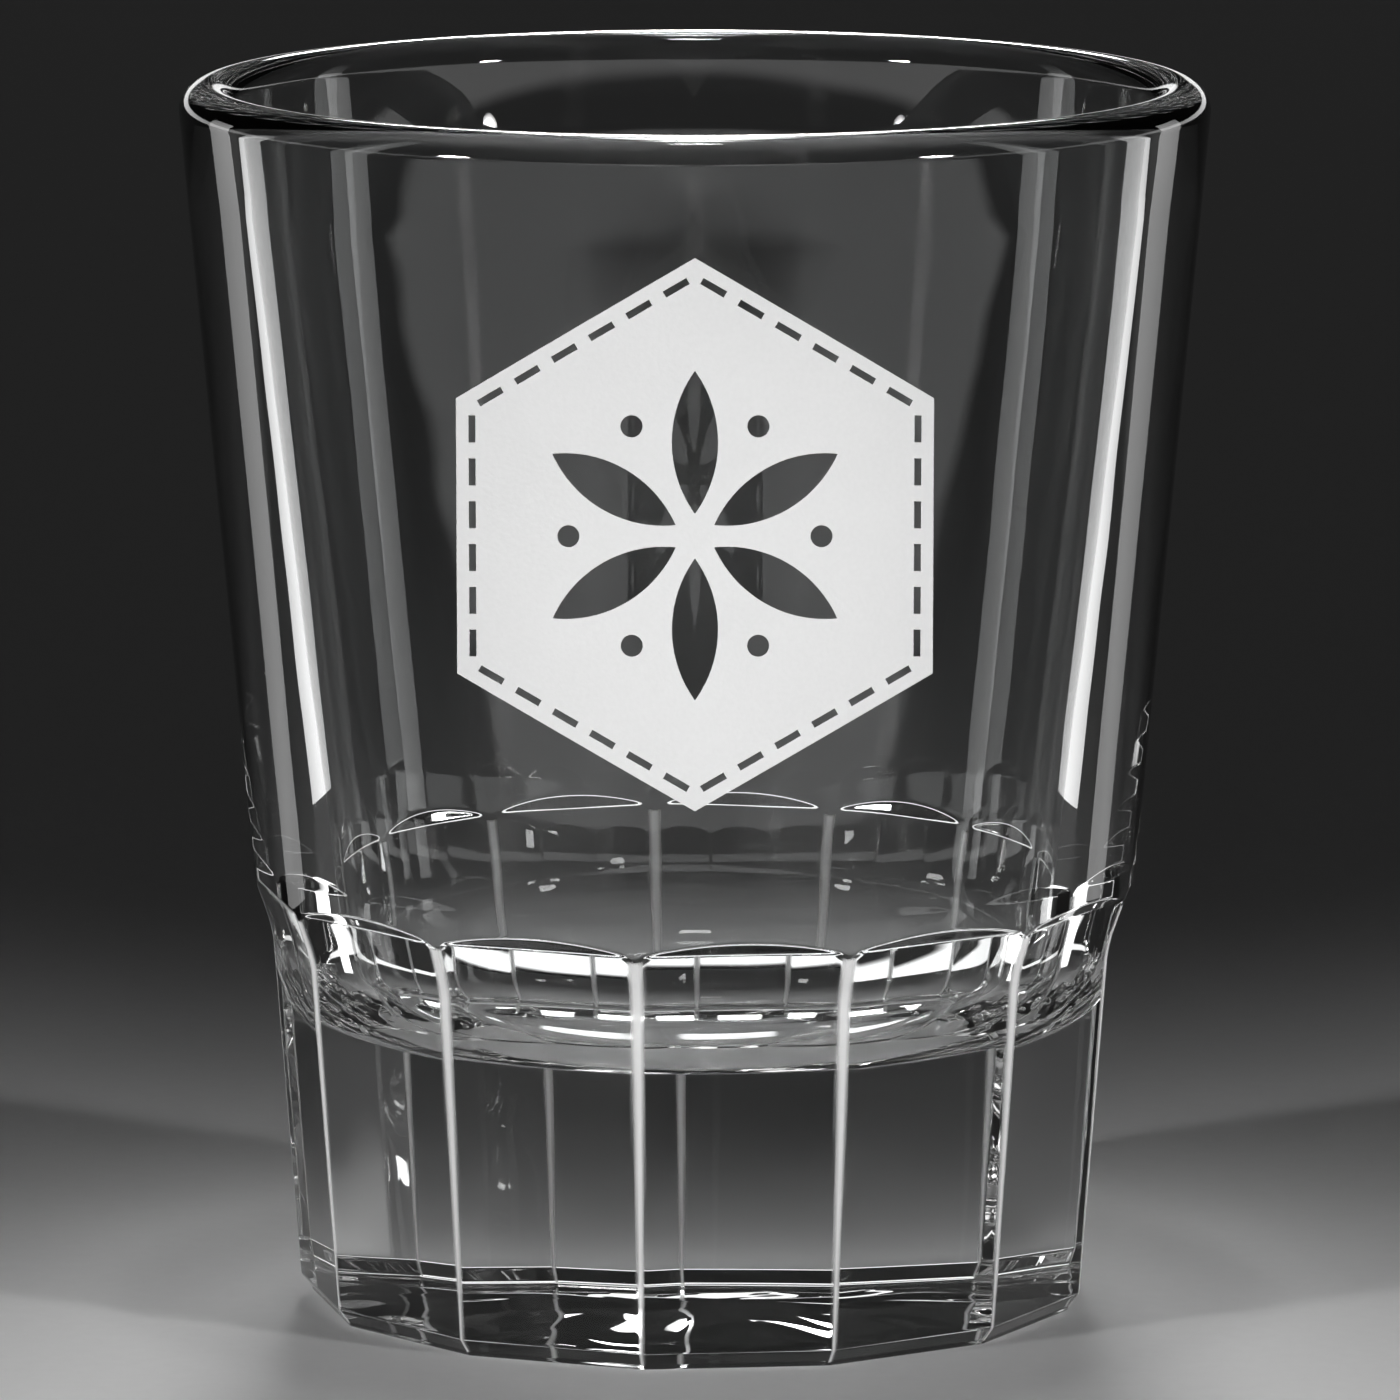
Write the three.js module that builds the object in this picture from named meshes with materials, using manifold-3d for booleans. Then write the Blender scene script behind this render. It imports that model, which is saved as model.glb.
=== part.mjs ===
// A pressed clear shot glass with a faceted heavy base and a frosted hexagon on its front.
// Millimetres, +Z up, front towards -Y. The origin is on the axis, in the plane of the foot.
import * as THREE from 'three';
import { mergeVertices } from 'three/addons/utils/BufferGeometryUtils.js';
import Module from 'manifold-3d';

// Overall sizes
const height = 63.5;            // foot to the crest of the rim
const rimDiameter = 53.06;      // across the outside of the rim
const wallDraft = 0.093;        // how fast the outside narrows, mm per mm going down

// Wall, rim and cavity
const rimWall = 2.95;           // wall at the rim, whose edge is a full round
const floorWall = 4.2;          // wall where it meets the corner of the cavity
const floorThickness = 14.8;    // solid glass under the cavity
const cornerRadius = 4.5;       // fillet between the cavity's wall and floor
const floorDish = 0.35;         // how far the cavity's floor sinks at its middle

// Cut facets round the base
const facetCount = 13;
const facetTurn = -7.6;         // degrees from the front to the first edge between facets
const facetTop = 19.3;          // height at which the flat facets end and their run-outs begin
const edgeSetIn = 0.55;         // edge between facets, inside the tapered wall at facetTop
const facetDraft = 0.079;       // narrowing of the facets, mm per mm going down
const runOutSlope = 0.5;        // widening of the run-outs, mm per mm going up
const edgeLandTop = 0.6;        // width of the flat on each edge, at the top of the facets
const edgeLandFoot = 0.15;      // width of the same flat at the foot

// Foot
const bevelHeight = 0.94;
const bevelRun = 0.75;
const ringWidth = 3.73;         // flat ring that the glass stands on, at its narrowest
const hollowRise = 1.3;         // shallow hollow inside that ring

// Frosted hexagon
const panelHeight = 27.5;       // corner to opposite corner, seen square on
const panelRise = 1.2;          // its middle, above the middle of the plain wall
const panelTilt = 8.2;          // degrees: the artwork is laid on from slightly above the front
const panelThickness = 0.12;
const panelGap = 0.04;          // between the layer and the glass
const borderInset = 0.8;        // edge of the hexagon to the middle of the dashed line
const dashWidth = 0.35;
const dashLength = 1.35;
const dashesPerSide = 6;
const petalTip = 8.2;           // rosette: middle to the tip of each petal
const petalRoot = 1.1;
const petalWidth = 2.3;
const dotRadius = 0.55;
const dotRing = 6.3;            // middle of the rosette to the middle of each dot

const aroundSteps = 104;        // flats round each turned surface
const rimSteps = 10;
const cornerSteps = 6;
const hollowSteps = 5;
const petalSteps = 7;
const dotSteps = 10;
const overcut = 2;              // how far a cutting solid runs past what it cuts

const wasm = await Module();
wasm.setup();

function toSolid(geometry) {
  const bare = geometry.clone();
  bare.deleteAttribute('normal');
  bare.deleteAttribute('uv');
  const merged = mergeVertices(bare, 1e-4);
  return new wasm.Manifold(new wasm.Mesh({
    numProp: 3,
    vertProperties: new Float32Array(merged.attributes.position.array),
    triVerts: new Uint32Array(merged.index.array),
  }));
}

function toGeometry(solid) {
  const mesh = solid.getMesh();
  const geometry = new THREE.BufferGeometry();
  geometry.setAttribute('position', new THREE.BufferAttribute(mesh.vertProperties, 3));
  geometry.setIndex(new THREE.BufferAttribute(mesh.triVerts, 1));
  geometry.computeVertexNormals();
  return geometry;
}

// Turns an outline of [radius, height] points about the Z axis. The outline runs up the outside.
function turned(outline, steps, turn = 0) {
  const points = outline.map(([radius, z]) => new THREE.Vector2(radius, z));
  const geometry = new THREE.LatheGeometry(points, steps, 0, 2 * Math.PI);
  return geometry.rotateX(Math.PI / 2).rotateZ(THREE.MathUtils.degToRad(turn));
}

// Points on an arc, with both ends, for angles in degrees from the outward direction.
function arc(centreRadius, centreZ, radius, from, to, steps) {
  return Array.from({ length: steps + 1 }, (_, i) => {
    const angle = THREE.MathUtils.degToRad(from + (to - from) * i / steps);
    return [centreRadius + radius * Math.cos(angle), centreZ + radius * Math.sin(angle)];
  });
}

const rimRound = rimWall / 2;
const rimLevel = height - rimRound;
const wallRadius = (z) => rimDiameter / 2 - wallDraft * (rimLevel - z);

// Radius of the edges between facets, and of the middles of the facets' sides
const sidesHalfAngle = Math.PI / facetCount;
const edgeRadius = (z) => wallRadius(facetTop) - edgeSetIn - facetDraft * (facetTop - z);
const toMiddle = Math.cos(sidesHalfAngle);
const hollowRadius = (edgeRadius(bevelHeight) - bevelRun) * toMiddle - ringWidth;

// Level where the run-outs' arches are highest, and the middle of the panel between there and the rim
const archStep = wallRadius(facetTop) - edgeRadius(facetTop) * toMiddle;
const archTop = facetTop + archStep / (runOutSlope * toMiddle - wallDraft);
const panelCentre = (archTop + rimLevel) / 2 + panelRise;

// Outline of the glass before its facets are cut
function glassOutline() {
  const hollow = Array.from({ length: hollowSteps + 1 }, (_, i) => {
    const share = i / hollowSteps;
    return [share * hollowRadius, hollowRise * (1 - share * share)];
  });
  const cavityTop = rimDiameter / 2 - rimWall;
  const cornerLevel = floorThickness + cornerRadius;
  const cavityBottom = wallRadius(cornerLevel) - floorWall;
  const lean = Math.atan2(cavityTop - cavityBottom, rimLevel - cornerLevel);
  const leanDegrees = THREE.MathUtils.radToDeg(lean);
  const cornerCentre = cavityBottom - cornerRadius / Math.cos(lean);
  return [
    ...hollow,
    [wallRadius(0), 0],
    ...arc(rimDiameter / 2 - rimRound, rimLevel, rimRound, 0, 180, rimSteps),
    ...arc(cornerCentre, cornerLevel, cornerRadius, -leanDegrees, -90, cornerSteps),
    [0, floorThickness - floorDish],
  ];
}

// The facets, their run-outs and the foot's bevel, as one many-sided solid. Radii are at its edges.
function facetOutline() {
  const bevelSlope = bevelRun / bevelHeight;
  const flare = rimDiameter / 2;
  return [
    [0, -overcut],
    [edgeRadius(bevelHeight) - bevelSlope * (bevelHeight + overcut), -overcut],
    [edgeRadius(bevelHeight), bevelHeight],
    [edgeRadius(facetTop), facetTop],
    [edgeRadius(facetTop) + flare, facetTop + flare / runOutSlope],
    [edgeRadius(facetTop) + flare, height + flare / runOutSlope + overcut],
    [0, height + flare / runOutSlope + overcut],
  ];
}

// A second many-sided solid, half a facet round, whose sides take a narrow flat off each edge
function landOutline() {
  const depth = (width) => width * Math.tan(sidesHalfAngle) / 2;
  const atEdge = (radius, width) => (radius - depth(width)) / toMiddle;
  const flare = rimDiameter;
  const foot = atEdge(edgeRadius(bevelHeight), edgeLandFoot);
  const top = atEdge(edgeRadius(facetTop), edgeLandTop);
  return [
    [0, -overcut],
    [foot, -overcut],
    [foot, bevelHeight],
    [top, facetTop],
    [top + flare, facetTop + flare / (2 * runOutSlope)],
    [top + flare, height + flare / runOutSlope + overcut],
    [0, height + flare / runOutSlope + overcut],
  ];
}

function glassBody() {
  // A turned solid starts with an edge at +X, and the front is -Y
  const firstEdge = facetTurn - 90;
  const blank = toSolid(turned(glassOutline(), aroundSteps));
  const facets = toSolid(turned(facetOutline(), facetCount, firstEdge));
  const lands = toSolid(turned(landOutline(), facetCount, firstEdge + 180 / facetCount));
  return toGeometry(blank.intersect(facets).intersect(lands));
}

// Frosted hexagon, drawn flat: corners up and down, X to the right
const corner = (radius, index) => {
  const angle = Math.PI / 2 + index * Math.PI / 3;
  return new THREE.Vector2(radius * Math.cos(angle), radius * Math.sin(angle));
};

function dashes() {
  const borderRadius = panelHeight / 2 - borderInset / Math.cos(Math.PI / 6);
  const holes = [];
  for (let side = 0; side < 6; side += 1) {
    const start = corner(borderRadius, side);
    const along = corner(borderRadius, side + 1).sub(start);
    const step = along.length() / dashesPerSide;
    along.normalize();
    const across = new THREE.Vector2(-along.y, along.x).multiplyScalar(dashWidth / 2);
    for (let i = 0; i < dashesPerSide; i += 1) {
      const from = start.clone().addScaledVector(along, (i + 0.5) * step - dashLength / 2);
      const to = from.clone().addScaledVector(along, dashLength);
      holes.push(new THREE.Path([
        from.clone().sub(across), to.clone().sub(across),
        to.clone().add(across), from.clone().add(across),
      ]));
    }
  }
  return holes;
}

// A leaf between two arcs, along the direction of one corner of the hexagon
function petal(index) {
  const along = corner(1, index);
  const across = new THREE.Vector2(-along.y, along.x);
  const outline = [];
  for (const side of [1, -1]) {
    for (let i = 0; i < petalSteps; i += 1) {
      const share = side > 0 ? i / petalSteps : 1 - i / petalSteps;
      const reach = petalRoot + (petalTip - petalRoot) * share;
      const half = petalWidth / 2 * 4 * share * (1 - share);
      outline.push(along.clone().multiplyScalar(reach).addScaledVector(across, side * half));
    }
  }
  return new THREE.Path(outline);
}

function dot(index) {
  const middle = corner(dotRing, index + 0.5);
  return new THREE.Path(Array.from({ length: dotSteps }, (_, i) => {
    const angle = 2 * Math.PI * i / dotSteps;
    return new THREE.Vector2(Math.cos(angle), Math.sin(angle)).multiplyScalar(dotRadius).add(middle);
  }));
}

function frostedPanel() {
  const outline = new THREE.Shape(Array.from({ length: 6 }, (_, i) => corner(panelHeight / 2, i)));
  outline.holes = dashes();
  for (let i = 0; i < 6; i += 1) outline.holes.push(petal(i), dot(i));
  const reach = rimDiameter / 2;
  const stencil = new THREE.ExtrudeGeometry(outline, { depth: reach, bevelEnabled: false });
  stencil.translate(0, 0, -reach / 2);
  stencil.rotateX(Math.PI / 2 - THREE.MathUtils.degToRad(panelTilt));
  stencil.translate(0, -wallRadius(panelCentre), panelCentre);

  const low = panelCentre - panelHeight;
  const high = panelCentre + panelHeight;
  const inner = panelGap;
  const outer = panelGap + panelThickness;
  const layer = turned([
    [wallRadius(low) + inner, low],
    [wallRadius(low) + outer, low],
    [wallRadius(high) + outer, high],
    [wallRadius(high) + inner, high],
    [wallRadius(low) + inner, low],
  ], aroundSteps);
  return toGeometry(toSolid(layer).intersect(toSolid(stencil)));
}

const shotGlass = new THREE.Group();

const body = new THREE.Mesh(glassBody(), new THREE.MeshStandardMaterial({
  color: 0xeef3f2, roughness: 0.03, metalness: 0, transparent: true, opacity: 0.4,
}));
body.name = 'glass_body';
shotGlass.add(body);

const panel = new THREE.Mesh(frostedPanel(), new THREE.MeshStandardMaterial({
  color: 0xe8e8e8, roughness: 0.75, metalness: 0,
}));
panel.name = 'frosted_panel';
shotGlass.add(panel);

export default shotGlass;
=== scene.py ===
# A clear pressed shot glass with a faceted base and a frosted hexagon, on a pale floor in soft light.
import math

import bmesh
import bpy
import numpy as np
from mathutils import Matrix, Vector


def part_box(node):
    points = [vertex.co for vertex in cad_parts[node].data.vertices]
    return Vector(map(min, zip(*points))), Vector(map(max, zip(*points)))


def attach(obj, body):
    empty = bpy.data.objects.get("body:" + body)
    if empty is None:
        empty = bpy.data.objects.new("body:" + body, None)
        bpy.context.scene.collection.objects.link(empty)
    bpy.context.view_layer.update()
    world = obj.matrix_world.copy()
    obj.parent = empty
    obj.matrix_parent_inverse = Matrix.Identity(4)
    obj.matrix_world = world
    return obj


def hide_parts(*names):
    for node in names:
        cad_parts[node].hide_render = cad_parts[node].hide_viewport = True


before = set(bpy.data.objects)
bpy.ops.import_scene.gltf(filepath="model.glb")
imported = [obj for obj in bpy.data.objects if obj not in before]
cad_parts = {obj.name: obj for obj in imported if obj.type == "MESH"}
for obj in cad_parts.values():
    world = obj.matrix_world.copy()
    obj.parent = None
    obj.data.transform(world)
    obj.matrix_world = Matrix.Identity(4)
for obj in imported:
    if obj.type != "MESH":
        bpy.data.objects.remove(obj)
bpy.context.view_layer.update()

mm = 0.001
low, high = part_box("glass_body")
print("frame loaded, glass", round((high.x - low.x) / mm, 2), "mm across")


# small helpers for the tools

def deselectAll():
    if bpy.context.object and bpy.context.object.mode != "OBJECT":
        bpy.ops.object.mode_set(mode="OBJECT")
    bpy.ops.object.select_all(action="DESELECT")


def useOnly(*pieces):
    deselectAll()
    for piece in pieces:
        piece.select_set(True)
    bpy.context.view_layer.objects.active = pieces[0]


def settlePlace(piece):
    useOnly(piece)
    bpy.ops.object.transform_apply(location=True, rotation=True, scale=True)


def pickVertices(piece, wanted):
    bpy.ops.mesh.select_mode(type="VERT")
    bpy.ops.mesh.select_all(action="DESELECT")
    shape = bmesh.from_edit_mesh(piece.data)
    for vertex in shape.verts:
        vertex.select = wanted(vertex.co)
    shape.select_flush_mode()
    bmesh.update_edit_mesh(piece.data)


def applyModifier(piece, kind, **settings):
    useOnly(piece)
    modifier = piece.modifiers.new(kind.title(), kind)
    for name, value in settings.items():
        setattr(modifier, name, value)
    bpy.ops.object.modifier_apply(modifier=modifier.name)


def smoothMin(a, b, reach):
    blend = np.clip(reach - np.abs(a - b), 0, None) / reach
    return np.minimum(a, b) - blend * blend * reach / 4


def smoothMax(a, b, reach):
    return -smoothMin(-a, -b, reach)


# materials

class Wire:
    def __init__(self, tree, socket):
        self.tree = tree
        self.socket = socket

    def math(self, operation, first, second):
        node = self.tree.nodes.new("ShaderNodeMath")
        node.operation = operation
        for place, value in zip(node.inputs, (first, second)):
            if isinstance(value, Wire):
                self.tree.links.new(value.socket, place)
            else:
                place.default_value = value
        return Wire(self.tree, node.outputs[0])

    def __add__(self, other):
        return self.math("ADD", self, other)

    def __radd__(self, other):
        return self.math("ADD", other, self)

    def __sub__(self, other):
        return self.math("SUBTRACT", self, other)

    def __rsub__(self, other):
        return self.math("SUBTRACT", other, self)

    def __mul__(self, other):
        return self.math("MULTIPLY", self, other)

    def __rmul__(self, other):
        return self.math("MULTIPLY", other, self)

    def node(self, kind, settings=None, output=0, **values):
        made = self.tree.nodes.new("ShaderNode" + kind)
        for name, value in (settings or {}).items():
            setattr(made, name, value)
        for name, value in values.items():
            place = made.inputs[name.replace("_", " ")]
            if isinstance(value, Wire):
                self.tree.links.new(value.socket, place)
            else:
                place.default_value = value
        return Wire(self.tree, made.outputs[output])


def newMaterial(name):
    material = bpy.data.materials.new(name)
    material.use_nodes = True
    tree = material.node_tree
    shader = tree.nodes["Principled BSDF"]
    texture = tree.nodes.new("ShaderNodeTexCoord")
    return material, shader, Wire(tree, texture.outputs["Object"])


def feed(shader, name, wire):
    wire.tree.links.new(wire.socket, shader.inputs[name])


def grey(wire):
    return wire.node("CombineColor", Red=wire, Green=wire, Blue=wire)


glassFinish = {
    "tint": (0.985, 0.992, 0.992, 1), "bending": 1.5,
    "smudgeScale": 170, "smudgeRoughness": 0.012,
    "slowScale": 95, "slowStrength": 0.12, "slowDepth": 0.2 * mm,    # slow waves of pressed glass
    "paintedHighlightShare": 0.85, "paintedHighlightTone": 0.9, "paintedHighlightRoughness": 0.6,        # edges between facets, painted white as a highlight
    "edgeRoughness": 0.25,
}


def clearGlass():
    material, shader, place = newMaterial("clearGlass")
    shader.inputs["Base Color"].default_value = glassFinish["tint"]
    shader.inputs["Transmission Weight"].default_value = 1
    shader.inputs["IOR"].default_value = glassFinish["bending"]
    smudge = place.node("TexNoise", Vector=place, Scale=glassFinish["smudgeScale"], Detail=3)
    edgeHighlightAndRough = place.node("Attribute", {"attribute_name": "paintedHighlightAndRoughEdges"}, output=2)
    roughness = smudge * glassFinish["smudgeRoughness"] + edgeHighlightAndRough * glassFinish["edgeRoughness"]
    feed(shader, "Roughness", roughness)
    slow = place.node("TexNoise", Vector=place, Scale=glassFinish["slowScale"], Detail=1)
    feed(shader, "Normal", place.node("Bump", Strength=glassFinish["slowStrength"],
                                      Distance=glassFinish["slowDepth"], Height=slow))
    tree = material.node_tree
    # painted highlight: a white diffuse shader mixed over the glass along the edges between facets
    paintedEdgeHighlight = tree.nodes.new("ShaderNodeBsdfPrincipled")
    paintedEdgeHighlight.inputs["Base Color"].default_value = (*[glassFinish["paintedHighlightTone"]] * 3, 1)
    paintedEdgeHighlight.inputs["Roughness"].default_value = glassFinish["paintedHighlightRoughness"]
    blend = tree.nodes.new("ShaderNodeMixShader")
    tree.links.new((edgeHighlightAndRough * glassFinish["paintedHighlightShare"]).socket, blend.inputs[0])
    tree.links.new(shader.outputs[0], blend.inputs[1])
    tree.links.new(paintedEdgeHighlight.outputs[0], blend.inputs[2])
    tree.links.new(blend.outputs[0], tree.nodes["Material Output"].inputs["Surface"])
    return material


frostFinish = {
    "grainScale": 4200, "cloudScale": 160,
    "tone": 0.76, "grainTone": 0.05, "cloudTone": 0.05,
    "roughness": 0.55, "grainRoughness": 0.25,
    "grainStrength": 0.3, "grainDepth": 0.04 * mm,
}


def frostedWhite():
    material, shader, place = newMaterial("frostedWhite")
    grain = place.node("TexNoise", Vector=place, Scale=frostFinish["grainScale"], Detail=2)
    cloud = place.node("TexNoise", Vector=place, Scale=frostFinish["cloudScale"], Detail=4)
    tone = frostFinish["tone"] + grain * frostFinish["grainTone"] + cloud * frostFinish["cloudTone"]
    feed(shader, "Base Color", grey(tone))
    feed(shader, "Roughness", frostFinish["roughness"] + grain * frostFinish["grainRoughness"])
    feed(shader, "Normal", place.node("Bump", Strength=frostFinish["grainStrength"],
                                      Distance=frostFinish["grainDepth"], Height=grain))
    return material


# the glass itself

glass = {
    "rimWall": 2.95 * mm, "wallDraft": 0.093,
    "floorWall": 4.2 * mm, "floorThickness": 14.8 * mm, "cornerRadius": 4.5 * mm, "floorDish": 0.35 * mm,
    "facetCount": 13, "facetTurn": math.radians(-7.6), "facetTop": 19.3 * mm, "edgeSetIn": 0.55 * mm,
    "facetDraft": 0.079, "runOutSlope": 0.352,
    "shoulderDepth": 0.385 * mm, "shoulderSteep": 3.5,     # steep little shoulder under each arch
    "shoulderSpread": math.radians(12.6),                  # where it dies out, from the middle of a facet
    "bevelHeight": 0.94 * mm, "bevelRun": 0.75 * mm, "ringWidth": 3.73 * mm, "hollowRise": 1.3 * mm,
    "footRound": 0.25 * mm,      # small round where the bevel meets the ring
    "edgeSoftTop": 0.22 * mm,    # softness of the edges between facets, at their tops
    "edgeSoftFoot": 0.05 * mm,
    "archSoft": 0.10 * mm, "shoulderSoft": 0.05 * mm, "runOutSoft": 0.25 * mm,
    "edgeFade": 0.05 * mm,       # depth of cut at which an edge's painted white highlight and its roughness end
    "waveDepth": 0.06 * mm, "waveWidth": 6.5 * mm, "wobble": 0.07,     # unevenness of the underside
    "underFade": 2 * mm,         # width over which the underside's waves set in
    "columns": 13 * 32, "crowding": 0.6,   # columns round the glass, drawn together at the edges
    "rowsAbove": 2.6 * mm, "rowsOver": 0.3 * mm, "rowsUnder": 1.2 * mm,    # close rows, from the arches' top
    "rowsLow": 18 * mm, "rowsFoot": 1.6 * mm,                              # heights of others, further down
    "followFrom": 17.5 * mm,     # from here up, rows follow the arches, and wholly between the next two
    "followUnder": 0.8 * mm, "followOver": 0.2 * mm,
    "cutLimit": 30 * mm,         # nothing above this height is cut
    "hair": 0.002 * mm,          # closer than this counts as the same place
}
rimRound = glass["rimWall"] / 2
rimLevel = high.z - rimRound
rimRadius = high.x
halfSide = math.pi / glass["facetCount"]


def wallRadius(z):
    return rimRadius - glass["wallDraft"] * (rimLevel - z)


def edgeRadius(z):
    top = wallRadius(glass["facetTop"]) - glass["edgeSetIn"]
    return top - glass["facetDraft"] * (glass["facetTop"] - z)


footRadius = edgeRadius(glass["bevelHeight"]) - glass["bevelRun"]
hollowRadius = footRadius * math.cos(halfSide) - glass["ringWidth"]


def sideAt(z):
    # distance from the axis to a facet, its run-out or the foot's bevel, at a height
    top = glass["facetTop"]
    foot = glass["bevelHeight"]
    flat = edgeRadius(z) * math.cos(halfSide)
    runOut = edgeRadius(top) * math.cos(halfSide) + glass["runOutSlope"] * (z - top)
    bevel = (edgeRadius(foot) - glass["bevelRun"] / foot * (foot - z)) * math.cos(halfSide)
    return smoothMin(smoothMax(flat, runOut, glass["runOutSoft"]), bevel, glass["shoulderSoft"])


def fromMiddle(angle):
    # angle from the middle of the nearest facet
    return np.abs((angle % (2 * halfSide)) - halfSide)


def shoulderAt(turn):
    return glass["shoulderDepth"] * np.clip(1 - (turn / glass["shoulderSpread"]) ** 2, 0, None)


def archLevel(angle):
    # height at which each arch meets the wall
    turn = fromMiddle(angle)
    top = glass["facetTop"]
    deep = wallRadius(top) - edgeRadius(top) * math.cos(halfSide) / np.cos(turn) - shoulderAt(turn)
    return top + deep / (glass["runOutSlope"] / np.cos(turn) - glass["wallDraft"])


def facetedRadius(angle, z):
    # outline of the cut glass at a height, by angle from the first edge, and how near an edge it is
    turn = fromMiddle(angle)
    side = sideAt(z)
    here, beyond = side / np.cos(turn), side / np.cos(2 * halfSide - turn)
    share = np.clip(z / glass["facetTop"], 0, 1)
    soft = glass["edgeSoftFoot"] + (glass["edgeSoftTop"] - glass["edgeSoftFoot"]) * share
    depth = wallRadius(z) - smoothMin(here, beyond, soft)
    steep = glass["shoulderSteep"] * (depth - shoulderAt(turn))
    depth = smoothMax(smoothMin(steep, depth, glass["shoulderSoft"]), 0 * depth, glass["archSoft"])
    # mask of the edges between facets: rougher glass there, and a painted white highlight
    edgeHighlightAndRough = np.clip(1.5 - 1.5 * np.abs(here - beyond) / soft, 0, 1) * (depth > glass["edgeFade"])
    return wallRadius(z) - depth, edgeHighlightAndRough


archTop = float(archLevel(halfSide))


def steps(start, stop, count):
    return [start + (stop - start) * i / count for i in range(1, count + 1)]


def outerLine():
    # from the rim down the wall, round the foot and in to the middle of the hollow
    foot = glass["footRound"]
    stretches = ((archTop + glass["rowsAbove"], 9), (archTop + glass["rowsOver"], 8),
                 (archTop - glass["rowsUnder"], 26), (glass["rowsLow"], 24),
                 (glass["rowsFoot"], 8), (foot, 16))
    heights = []
    level = rimLevel
    for end, count in stretches:
        heights += steps(level, end, count)
        level = end
    line = [(wallRadius(z), z) for z in heights]
    centre = wallRadius(foot) - foot
    for turn in steps(0, math.pi / 2, 5):
        line.append((centre + foot * math.cos(turn), foot * (1 - math.sin(turn))))
    line += [(radius, 0) for radius in steps(centre, hollowRadius, 3)]
    for radius in steps(hollowRadius, 0, 12):
        line.append((radius, glass["hollowRise"] * (1 - (radius / hollowRadius) ** 2)))
    return line


def innerLine():
    # from the rim down the cavity, round its corner and in to the middle of the floor
    cornerLevel = glass["floorThickness"] + glass["cornerRadius"]
    bottom = wallRadius(cornerLevel) - glass["floorWall"]
    mouth = rimRadius - glass["rimWall"]
    line = [(mouth + (bottom - mouth) * (rimLevel - z) / (rimLevel - cornerLevel), z)
            for z in steps(rimLevel, cornerLevel, 14)]
    centre = bottom - glass["cornerRadius"]
    for turn in steps(0, math.pi / 2, 16):
        line.append((centre + glass["cornerRadius"] * math.cos(turn),
                     cornerLevel - glass["cornerRadius"] * math.sin(turn)))
    for radius in steps(centre, 0, 10):
        sink = 1 - (radius / centre) ** 2
        line.append((radius, glass["floorThickness"] - glass["floorDish"] * sink))
    return line


def extrudeAlong(piece, start, line):
    pickVertices(piece, lambda co: (co - Vector(start)).length < glass["hair"] / 2)
    last = Vector(start)
    for radius, z in line:
        point = Vector((radius, 0, z))
        bpy.ops.mesh.extrude_region_move(TRANSFORM_OT_translate={"value": point - last})
        last = point


def makeGlass():
    deselectAll()
    ring = rimRadius - rimRound
    bpy.ops.mesh.primitive_circle_add(vertices=56, radius=rimRound, location=(ring, 0, rimLevel),
                                      rotation=(math.pi / 2, 0, 0))
    piece = bpy.context.object
    piece.name = "glassBody"
    settlePlace(piece)
    bpy.ops.object.mode_set(mode="EDIT")
    pickVertices(piece, lambda co: co.z < rimLevel - glass["hair"] / 2)
    bpy.ops.mesh.delete(type="VERT")
    extrudeAlong(piece, (rimRadius, 0, rimLevel), outerLine())
    extrudeAlong(piece, (ring - rimRound, 0, rimLevel), innerLine())
    bpy.ops.mesh.select_all(action="SELECT")
    bpy.ops.mesh.spin(steps=glass["columns"], angle=2 * math.pi, center=(0, 0, 0), axis=(0, 0, 1))
    bpy.ops.mesh.select_all(action="SELECT")
    bpy.ops.mesh.remove_doubles(threshold=glass["hair"] / 4)
    bpy.ops.mesh.normals_make_consistent(inside=False)
    bpy.ops.object.mode_set(mode="OBJECT")
    cutFacets(piece)
    bpy.ops.object.shade_smooth()
    return piece


def wavesAt(x, y):
    # gentle unevenness of pressed glass, from -1 to 1
    pace = 2 * math.pi / glass["waveWidth"]
    first = np.sin(pace * x + 1)
    second = np.sin(pace * (0.5 * x + 0.9 * y))
    third = np.sin(pace * (0.8 * y - 0.6 * x) + 2)
    return (first + second + third) / 3


def unevenUnderside(points, radius, angle, isBelow):
    # the ring's inner edge wanders a little, and the hollow inside it is wavy
    inward = np.clip((footRadius - radius) / glass["ringWidth"], 0, 1) * isBelow
    wander = (np.sin(5 * angle) + np.sin(11 * angle + 1)) / 2
    flatness = np.clip((hollowRadius - radius) / glass["underFade"], 0, 1) * isBelow
    points[:, 2] += glass["waveDepth"] * flatness * (1 + wavesAt(points[:, 0], points[:, 1]))
    return 1 + glass["wobble"] * inward * wander


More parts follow.
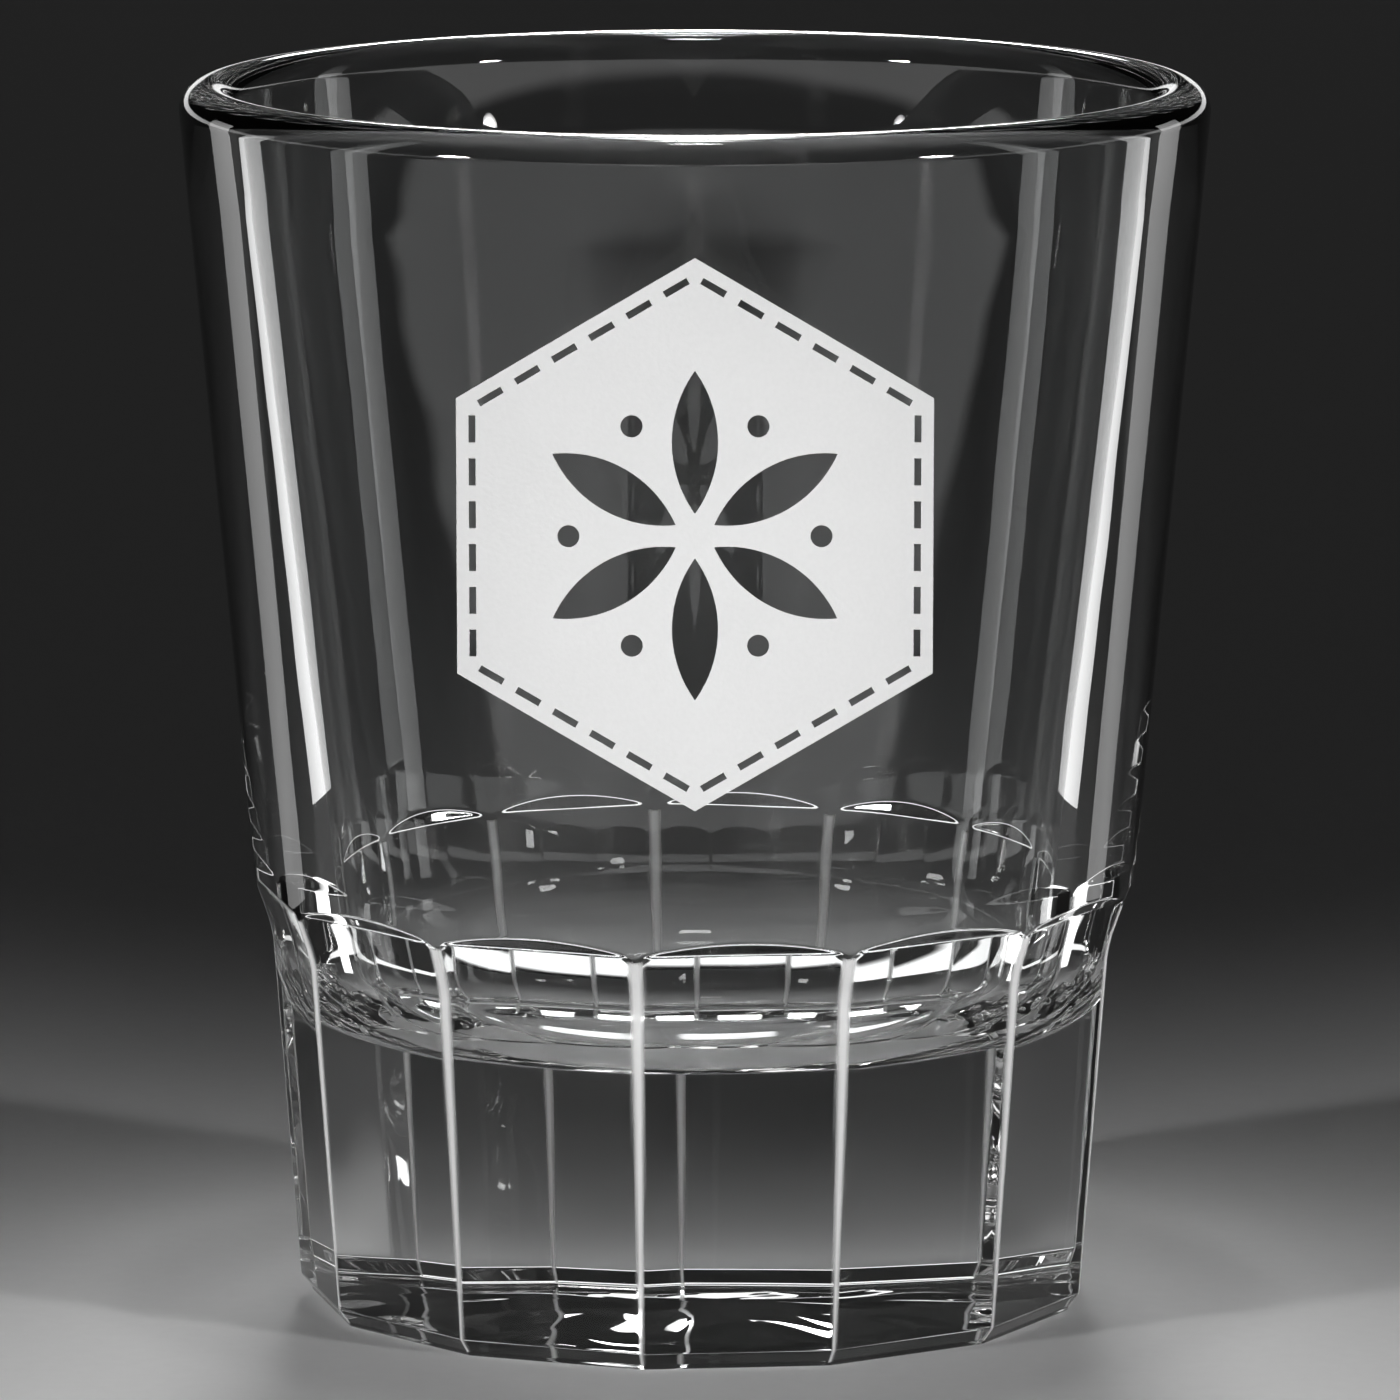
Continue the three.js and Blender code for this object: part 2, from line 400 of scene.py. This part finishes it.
def cutFacets(piece):
    # the wall's skin moves in to the facets, their run-outs and the foot's bevel
    points = np.empty(len(piece.data.vertices) * 3)
    piece.data.vertices.foreach_get("co", points)
    points = points.reshape(-1, 3)
    radius = np.hypot(points[:, 0], points[:, 1])
    count = glass["facetCount"]
    angle = np.arctan2(points[:, 0], -points[:, 1]) - glass["facetTurn"]
    angle -= glass["crowding"] / count * np.sin(count * angle)
    z = points[:, 2]
    foot, hair = glass["footRound"], glass["hair"]
    onWall = (radius > wallRadius(z) - hair) & (z < glass["cutLimit"]) & (z > foot - hair / 2)
    onRing = (z < foot - hair / 2) & (radius > hollowRadius + hair / 2)
    follow = [glass["followFrom"], archTop - glass["followUnder"],
              archTop + glass["followOver"], archTop + glass["rowsAbove"]]
    reach = np.interp(z, follow, [0, 1, 1, 0])
    z = np.where(onWall, z + reach * (archLevel(angle) - archTop), z)
    points[:, 2] = z
    cutRadius, edgeHighlightAndRough = facetedRadius(angle, z)
    newRadius = np.where(onWall, cutRadius, radius)
    squeeze = (facetedRadius(angle, 0 * z + foot)[0] - hollowRadius) / (wallRadius(foot) - hollowRadius)
    newRadius = np.where(onRing, hollowRadius + (radius - hollowRadius) * squeeze, newRadius)
    isBelow = (z < glass["hollowRise"] + foot) & ~onWall & (radius < footRadius)
    newRadius = newRadius * unevenUnderside(points, radius, angle, isBelow)
    # the edges' mask, which carries their painted white highlight and their roughness
    paintedEdgeHighlight = piece.data.attributes.new("paintedHighlightAndRoughEdges", "FLOAT", "POINT")
    paintedEdgeHighlight.data.foreach_set("value", np.where(onWall, edgeHighlightAndRough, 0).astype(np.float32))
    turned = angle + glass["facetTurn"]
    points[:, 0] = newRadius * np.sin(turned)
    points[:, 1] = -newRadius * np.cos(turned)
    piece.data.vertices.foreach_set("co", points.ravel())
    piece.data.update()


glassBody = makeGlass()
glassBody.data.materials.append(clearGlass())
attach(glassBody, "root")
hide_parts("glass_body")
print("glass body", len(glassBody.data.polygons), "faces")


# the frosted hexagon

panel = {
    "height": 27.5 * mm, "rise": 1.2 * mm, "tilt": math.radians(8.2),
    "gap": 0.04 * mm, "thickness": 0.1 * mm,
    "borderInset": 0.8 * mm, "dashWidth": 0.35 * mm, "dashLength": 1.35 * mm, "dashesPerSide": 6,
    "petalTip": 8.2 * mm, "petalRoot": 1.1 * mm, "petalWidth": 2.3 * mm,
    "dotRadius": 0.55 * mm, "dotRing": 6.3 * mm,
    "slab": 2 * mm,              # thickness while it is flat
    "slice": 0.5 * mm,           # width of the strips that let it bend
    "hair": 0.001 * mm,
    "smoothUnder": math.radians(30),
}
panelCentre = (archTop + rimLevel) / 2 + panel["rise"]


def flatCutter(name):
    # what was just added becomes a cutter, in the flat artwork's plane: X across, Y up
    cutter = bpy.context.object
    cutter.name = name
    settlePlace(cutter)
    return cutter


def dashCutters():
    cutters = []
    apothem = panel["height"] / 2 * math.cos(math.pi / 6) - panel["borderInset"]
    side = apothem / math.cos(math.pi / 6)
    for index in range(6):
        turn = math.radians(60 * index)
        for place in range(panel["dashesPerSide"]):
            along = ((place + 0.5) / panel["dashesPerSide"] - 0.5) * side
            centre = Matrix.Rotation(turn, 3, "Z") @ Vector((apothem, along, 0))
            deselectAll()
            bar = (panel["dashWidth"], panel["dashLength"], 2 * panel["slab"])
            bpy.ops.mesh.primitive_cube_add(size=1, location=centre, rotation=(0, 0, turn), scale=bar)
            cutters.append(flatCutter("dash"))
    return cutters


def petalCutters():
    # each petal is two equal caps of a circle, back to back
    cutters = []
    length = panel["petalTip"] - panel["petalRoot"]
    bulge = panel["petalWidth"] / 2
    radius = (length ** 2 / 4 + bulge ** 2) / (2 * bulge)
    middle = (panel["petalTip"] + panel["petalRoot"]) / 2
    for index in range(6):
        turn = math.radians(60 * index + 30)
        deselectAll()
        bpy.ops.mesh.primitive_circle_add(vertices=96, radius=radius, fill_type="NGON",
                                          location=(middle, bulge - radius, 0))
        cutter = flatCutter("petal")
        bpy.ops.object.mode_set(mode="EDIT")
        bpy.ops.mesh.select_all(action="SELECT")
        bpy.ops.mesh.bisect(plane_co=(0, 0, 0), plane_no=(0, 1, 0), use_fill=False, clear_inner=True)
        bpy.ops.mesh.select_all(action="SELECT")
        bpy.ops.mesh.duplicate()
        bpy.ops.transform.rotate(value=math.pi, orient_axis="Z", center_override=(middle, 0, 0))
        bpy.ops.mesh.select_all(action="SELECT")
        bpy.ops.mesh.remove_doubles(threshold=panel["hair"])
        bpy.ops.mesh.dissolve_limited(angle_limit=math.radians(0.5))
        bpy.ops.mesh.select_all(action="SELECT")
        bpy.ops.mesh.extrude_region_move(TRANSFORM_OT_translate={"value": (0, 0, 2 * panel["slab"])})
        bpy.ops.mesh.select_all(action="SELECT")
        bpy.ops.transform.translate(value=(0, 0, -panel["slab"]))
        bpy.ops.transform.rotate(value=turn, orient_axis="Z", center_override=(0, 0, 0))
        bpy.ops.mesh.normals_make_consistent(inside=False)
        bpy.ops.object.mode_set(mode="OBJECT")
        cutters.append(cutter)
    return cutters


def dotCutters():
    cutters = []
    for index in range(6):
        centre = Matrix.Rotation(math.radians(60 * index), 3, "Z") @ Vector((panel["dotRing"], 0, 0))
        deselectAll()
        bpy.ops.mesh.primitive_cylinder_add(vertices=32, radius=panel["dotRadius"], depth=2 * panel["slab"],
                                            location=centre)
        cutters.append(flatCutter("dot"))
    return cutters


def layOnWall(piece):
    # the flat artwork goes back along the way it is seen until it meets the wall
    look = Vector((0, math.cos(panel["tilt"]), -math.sin(panel["tilt"])))
    up = Vector((0, math.sin(panel["tilt"]), math.cos(panel["tilt"])))
    middle = Vector((0, -wallRadius(panelCentre), panelCentre))
    for vertex in piece.data.vertices:
        start = middle + Vector((vertex.co.x, 0, 0)) + up * vertex.co.y
        proud = panel["gap"] + (panel["thickness"] if vertex.co.z > 0 else 0)
        reach = 0.0
        for _ in range(12):
            point = start + look * reach
            reach += math.hypot(point.x, point.y) - wallRadius(point.z) - proud
        vertex.co = start + look * reach
    piece.data.update()


def makePanel():
    deselectAll()
    bpy.ops.mesh.primitive_cylinder_add(vertices=6, radius=panel["height"] / 2, depth=panel["slab"])
    piece = flatCutter("frostedPanel")
    cutters = dashCutters() + petalCutters() + dotCutters()
    useOnly(*cutters)
    bpy.ops.object.join()
    cutter = bpy.context.object
    applyModifier(piece, "BOOLEAN", operation="DIFFERENCE", object=cutter, solver="EXACT")
    bpy.data.objects.remove(cutter)
    useOnly(piece)
    bpy.ops.object.mode_set(mode="EDIT")
    halfWidth = panel["height"] / 2
    for place in steps(-halfWidth, halfWidth, round(2 * halfWidth / panel["slice"])):
        bpy.ops.mesh.select_all(action="SELECT")
        bpy.ops.mesh.bisect(plane_co=(place, 0, 0), plane_no=(1, 0, 0), use_fill=False)
    bpy.ops.mesh.select_all(action="SELECT")
    bpy.ops.mesh.quads_convert_to_tris()
    bpy.ops.object.mode_set(mode="OBJECT")
    layOnWall(piece)
    bpy.ops.object.mode_set(mode="EDIT")
    bpy.ops.mesh.select_all(action="SELECT")
    bpy.ops.mesh.normals_make_consistent(inside=False)
    bpy.ops.object.mode_set(mode="OBJECT")
    bpy.ops.object.shade_smooth_by_angle(angle=panel["smoothUnder"])
    return piece


frostedPanel = makePanel()
frostedPanel.data.materials.append(frostedWhite())
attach(frostedPanel, "root")
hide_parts("frosted_panel")
print("frosted panel", len(frostedPanel.data.polygons), "faces")


# floor, light and camera

stage = {
    "floorRadius": 8.0, "floorLevel": -0.02 * mm,
    "floorTone": 0.76, "floorGrain": 0.04, "floorGrainScale": 900, "floorRoughness": 0.7, "floorShine": 0.2,
    "dimLight": 0.006,                             # the studio all round
    "bandLow": 0.25, "bandLowSoft": 0.012,         # its bright band: degrees above the horizon, and softness
    "bandHigh": 4.2, "bandHighSoft": 0.02, "bandLight": 1.3,
    "cameraPlace": (0, -0.6473, 0.1337), "cameraDown": math.radians(8.994),
    "sensor": 36, "lens": 325.3114, "cameraShift": 0.0036, "cameraNear": 0.01,
    "bounces": 24, "mirrorBounces": 12,
}


def makeFloor():
    deselectAll()
    bpy.ops.mesh.primitive_circle_add(vertices=128, radius=stage["floorRadius"], fill_type="NGON",
                                      location=(0, 0, stage["floorLevel"]))
    floor = bpy.context.object
    floor.name = "floor"
    material, shader, place = newMaterial("paleFloor")
    grain = place.node("TexNoise", Vector=place, Scale=stage["floorGrainScale"], Detail=2)
    feed(shader, "Base Color", grey(stage["floorTone"] + grain * stage["floorGrain"]))
    shader.inputs["Roughness"].default_value = stage["floorRoughness"]
    shader.inputs["Specular IOR Level"].default_value = stage["floorShine"]
    floor.data.materials.append(material)


def softStep(height, start, width):
    return height.node("MapRange", {"interpolation_type": "SMOOTHSTEP"}, Value=height,
                       From_Min=start, From_Max=start + width)


def makeWorld():
    world = bpy.data.worlds.new("studio")
    world.use_nodes = True
    bpy.context.scene.world = world
    tree = world.node_tree
    direction = Wire(tree, tree.nodes.new("ShaderNodeTexCoord").outputs["Generated"])
    height = direction.node("SeparateXYZ", output=2, Vector=direction)
    rise = softStep(height, math.sin(math.radians(stage["bandLow"])), stage["bandLowSoft"])
    fall = softStep(height, math.sin(math.radians(stage["bandHigh"])), stage["bandHighSoft"])
    glow = stage["dimLight"] + rise * stage["bandLight"] * (1 - fall)
    tree.links.new(glow.socket, tree.nodes["Background"].inputs["Color"])


def softLight(name, place, target, size, power, spread):
    deselectAll()
    bpy.ops.object.light_add(type="AREA", location=place)
    light = bpy.context.object
    light.name = name
    light.visible_camera = False
    light.data.shape = "RECTANGLE"
    light.data.size, light.data.size_y = size
    light.data.energy = power
    light.data.spread = math.radians(spread)
    light.rotation_euler = (Vector(target) - Vector(place)).to_track_quat("-Z", "Y").to_euler()


def makeLights():
    # narrow beams: they light the glass and the floor round its foot, and leave the rest of the floor dim
    front = (0, -0.02, 0.040)
    rim = (0, -0.03, high.z)
    softLight("overhead", (0, 0, 0.34), (0, 0, 0), (0.03, 0.03), 0.0016, 12)
    for side, way in (("Left", -1), ("Right", 1)):
        softLight("key" + side, (way * 0.524, -0.382, 0.152), front, (0.09, 0.09), 0.0195, 9)
        softLight("side" + side, (way * 0.087, 0.046, 0.040), (0, 0, 0.040), (0.018, 0.08), 0.0013, 60)
    softLight("backLow", (0, 0.47, 0.233), (0, -0.01, 0.035), (0.16, 0.08), 0.008, 12)
    softLight("backMiddle", (0, 0.394, 0.370), rim, (0.16, 0.08), 0.008, 11)
    softLight("backHigh", (0, 0.28, 0.477), rim, (0.16, 0.08), 0.008, 11)
    softLight("backTop", (0, 0.125, 0.47), rim, (0.16, 0.10), 0.006, 9)


def makeCamera():
    deselectAll()
    tilt = math.pi / 2 - stage["cameraDown"]
    bpy.ops.object.camera_add(location=stage["cameraPlace"], rotation=(tilt, 0, 0))
    camera = bpy.context.object
    camera.data.sensor_width = stage["sensor"]
    camera.data.lens = stage["lens"]
    camera.data.shift_x = stage["cameraShift"]
    camera.data.clip_start = stage["cameraNear"]
    bpy.context.scene.camera = camera


makeFloor()
makeWorld()
makeLights()
makeCamera()
scene = bpy.context.scene
scene.view_settings.view_transform = "Standard"
scene.cycles.max_bounces = stage["bounces"]
scene.cycles.transmission_bounces = stage["bounces"]
scene.cycles.glossy_bounces = stage["mirrorBounces"]
print("stage, light and camera set")
